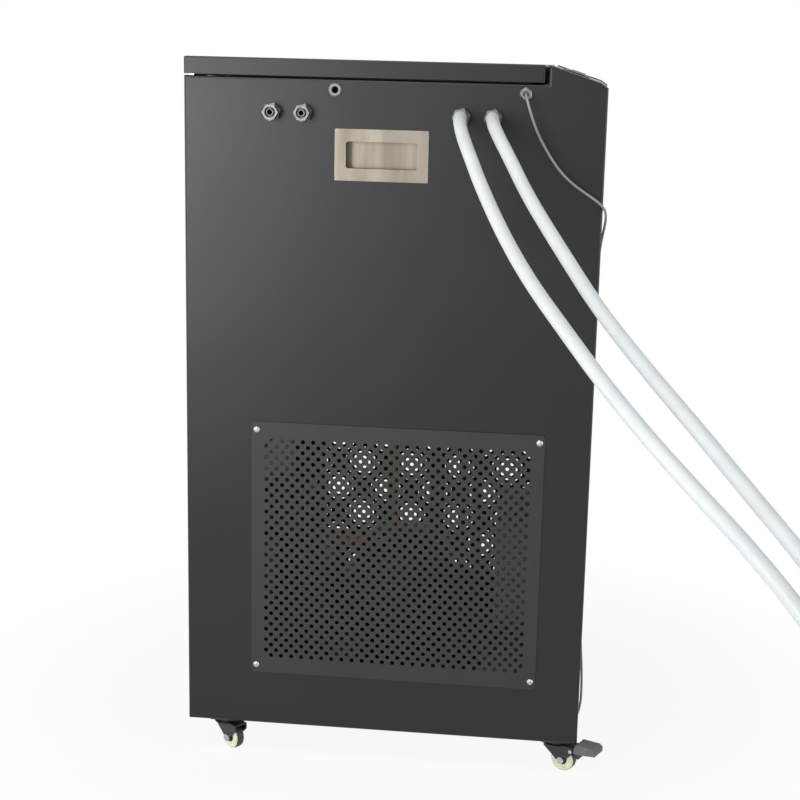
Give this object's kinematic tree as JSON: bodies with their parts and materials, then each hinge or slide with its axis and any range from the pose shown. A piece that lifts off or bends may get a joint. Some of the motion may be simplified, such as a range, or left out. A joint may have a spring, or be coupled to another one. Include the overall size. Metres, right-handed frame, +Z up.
{
  "type": "glycol_chiller",
  "caption": "Glycol chiller on castors: black sheet-metal cabinet with a hinged lid over an insulated bath, perforated side grilles, flush pull handles, hose fittings and two coolant hoses",
  "frame": {"origin": "on the floor, at the middle of the footprint of everything but the hoses and the probe's cable", "axes": "+Z up, +X towards the front with the sloped control strip, -Y towards the side with the hose ports"},
  "size_m": [0.8489, 1.2705, 0.883],
  "materials": {
    "black_paint": "powder_coat",
    "galvanised": "satin",
    "stainless": "brushed",
    "foam": "matte",
    "zinc": "satin",
    "nickel": "satin",
    "grey_rubber": "matte",
    "copper": "satin",
    "condenser_metal": "satin",
    "motor_paint": "satin",
    "black_plastic": "matte",
    "black_rubber": "matte",
    "grey_plastic": "matte",
    "white_tube": "satin",
    "black_fork": "satin",
    "tyre": "matte"
  },
  "bodies": {
    "cabinet": {"base_pan": "galvanised", "castor_plates": "black_paint", "circulation_pumps": "black_plastic", "compressor": "motor_paint", "compressor_mounts": "black_rubber", "condenser": "condenser_metal", "control_panel": "black_paint", "controller_1": "black_plastic", "controller_2": "black_plastic", "electrical_box": "grey_plastic", "evaporator_coil": "copper", "fan_motor": "motor_paint", "fan_shroud": "galvanised", "fitting_locknuts": "nickel", "front_panel": "black_paint", "grille_screws": "zinc", "hinge_fixed_halves": "zinc", "hose_fitting_1": "nickel", "hose_fitting_2": "nickel", "hose_fitting_3": "nickel", "hose_fitting_4": "nickel", "hose_front": "white_tube", "hose_rear": "white_tube", "inner_hoses": "black_rubber", "plain_side_grille": "black_paint", "plain_side_handle": "stainless", "plain_side_panel": "black_paint", "port_side_grille": "black_paint", "port_side_handle": "stainless", "port_side_panel": "black_paint", "power_inlet": "black_plastic", "probe_cable": "black_rubber", "probe_gland": "nickel", "probe_grommet": "grey_rubber", "probe_tip": "stainless", "rear_panel": "black_paint", "refrigerant_pipes": "copper", "suction_line": "black_rubber", "tank": "stainless", "tank_insulation": "foam", "top_deck": "black_paint"},
    "lid": {"lid_shell": "black_paint", "lid_insulation": "foam", "hinge_moving_halves": "zinc"},
    "fan": {"fan_blades": "black_plastic"},
    "power_rocker": {"power_rocker": "black_plastic"},
    "key_1a": {"key_1a": "grey_plastic"},
    "key_1b": {"key_1b": "grey_plastic"},
    "key_2a": {"key_2a": "grey_plastic"},
    "key_2b": {"key_2b": "grey_plastic"},
    "swivel_rear_port": {"castor_fork_rear_port": "black_fork"},
    "wheel_rear_port": {"castor_wheel_rear_port": "tyre"},
    "swivel_front_port": {"castor_fork_front_port": "black_fork"},
    "wheel_front_port": {"castor_wheel_front_port": "tyre"},
    "brake_front_port": {"castor_brake_front_port": "black_plastic"},
    "swivel_rear_plain": {"castor_fork_rear_plain": "black_fork"},
    "wheel_rear_plain": {"castor_wheel_rear_plain": "tyre"},
    "swivel_front_plain": {"castor_fork_front_plain": "black_fork"},
    "wheel_front_plain": {"castor_wheel_front_plain": "tyre"},
    "brake_front_plain": {"castor_brake_front_plain": "black_plastic"}
  },
  "joints": [
    {"name": "lid_hinge", "type": "hinge", "parent": "cabinet", "child": "lid", "pos_m": [-0.26758, 0.00655, 0.8615], "axis": [0, -1, 0], "range_deg": [0, 100]},
    {"name": "fan_spin", "type": "hinge", "parent": "cabinet", "child": "fan", "pos_m": [-0.17717, 0.00655, 0.2104], "axis": [1, 0, 0], "continuous": true},
    {"name": "rocker_tilt", "type": "hinge", "parent": "cabinet", "child": "power_rocker", "pos_m": [-0.26117, 0.15655, 0.129], "axis": [0, 0, 1], "range_deg": [0, 14]},
    {"name": "key_1a_press", "type": "slide", "parent": "cabinet", "child": "key_1a", "axis": [-0.3007, 0, -0.9537], "range_m": [0, 0.0008], "stiffness_N_per_m": 400},
    {"name": "key_1b_press", "type": "slide", "parent": "cabinet", "child": "key_1b", "axis": [-0.3007, 0, -0.9537], "range_m": [0, 0.0008], "stiffness_N_per_m": 400},
    {"name": "key_2a_press", "type": "slide", "parent": "cabinet", "child": "key_2a", "axis": [-0.3007, 0, -0.9537], "range_m": [0, 0.0008], "stiffness_N_per_m": 400},
    {"name": "key_2b_press", "type": "slide", "parent": "cabinet", "child": "key_2b", "axis": [-0.3007, 0, -0.9537], "range_m": [0, 0.0008], "stiffness_N_per_m": 400},
    {"name": "swivel_rear_port", "type": "hinge", "parent": "cabinet", "child": "swivel_rear_port", "pos_m": [-0.21838, -0.16945, 0.036], "axis": [0, 0, 1], "continuous": true},
    {"name": "roll_rear_port", "type": "hinge", "parent": "swivel_rear_port", "child": "wheel_rear_port", "pos_m": [-0.20918, -0.17716, 0.016], "axis": [0.6428, 0.766, 0], "continuous": true},
    {"name": "swivel_front_port", "type": "hinge", "parent": "cabinet", "child": "swivel_front_port", "pos_m": [0.21113, -0.16945, 0.036], "axis": [0, 0, 1], "continuous": true},
    {"name": "roll_front_port", "type": "hinge", "parent": "swivel_front_port", "child": "wheel_front_port", "pos_m": [0.222, -0.17452, 0.016], "axis": [0.4226, 0.9063, 0], "continuous": true},
    {"name": "pedal_front_port", "type": "hinge", "parent": "swivel_front_port", "child": "brake_front_port", "pos_m": [0.23378, -0.18002, 0.0306], "axis": [0.4226, 0.9063, 0], "range_deg": [0, 12]},
    {"name": "swivel_rear_plain", "type": "hinge", "parent": "cabinet", "child": "swivel_rear_plain", "pos_m": [-0.21838, 0.18255, 0.036], "axis": [0, 0, 1], "continuous": true},
    {"name": "roll_rear_plain", "type": "hinge", "parent": "swivel_rear_plain", "child": "wheel_rear_plain", "pos_m": [-0.22877, 0.18855, 0.016], "axis": [-0.5, -0.866, 0], "continuous": true},
    {"name": "swivel_front_plain", "type": "hinge", "parent": "cabinet", "child": "swivel_front_plain", "pos_m": [0.21113, 0.18255, 0.036], "axis": [0, 0, 1], "continuous": true},
    {"name": "roll_front_plain", "type": "hinge", "parent": "swivel_front_plain", "child": "wheel_front_plain", "pos_m": [0.20025, 0.17748, 0.016], "axis": [0.4226, -0.9063, 0], "continuous": true},
    {"name": "pedal_front_plain", "type": "hinge", "parent": "swivel_front_plain", "child": "brake_front_plain", "pos_m": [0.18847, 0.17198, 0.0306], "axis": [0.4226, -0.9063, 0], "range_deg": [0, 12]}
  ]
}
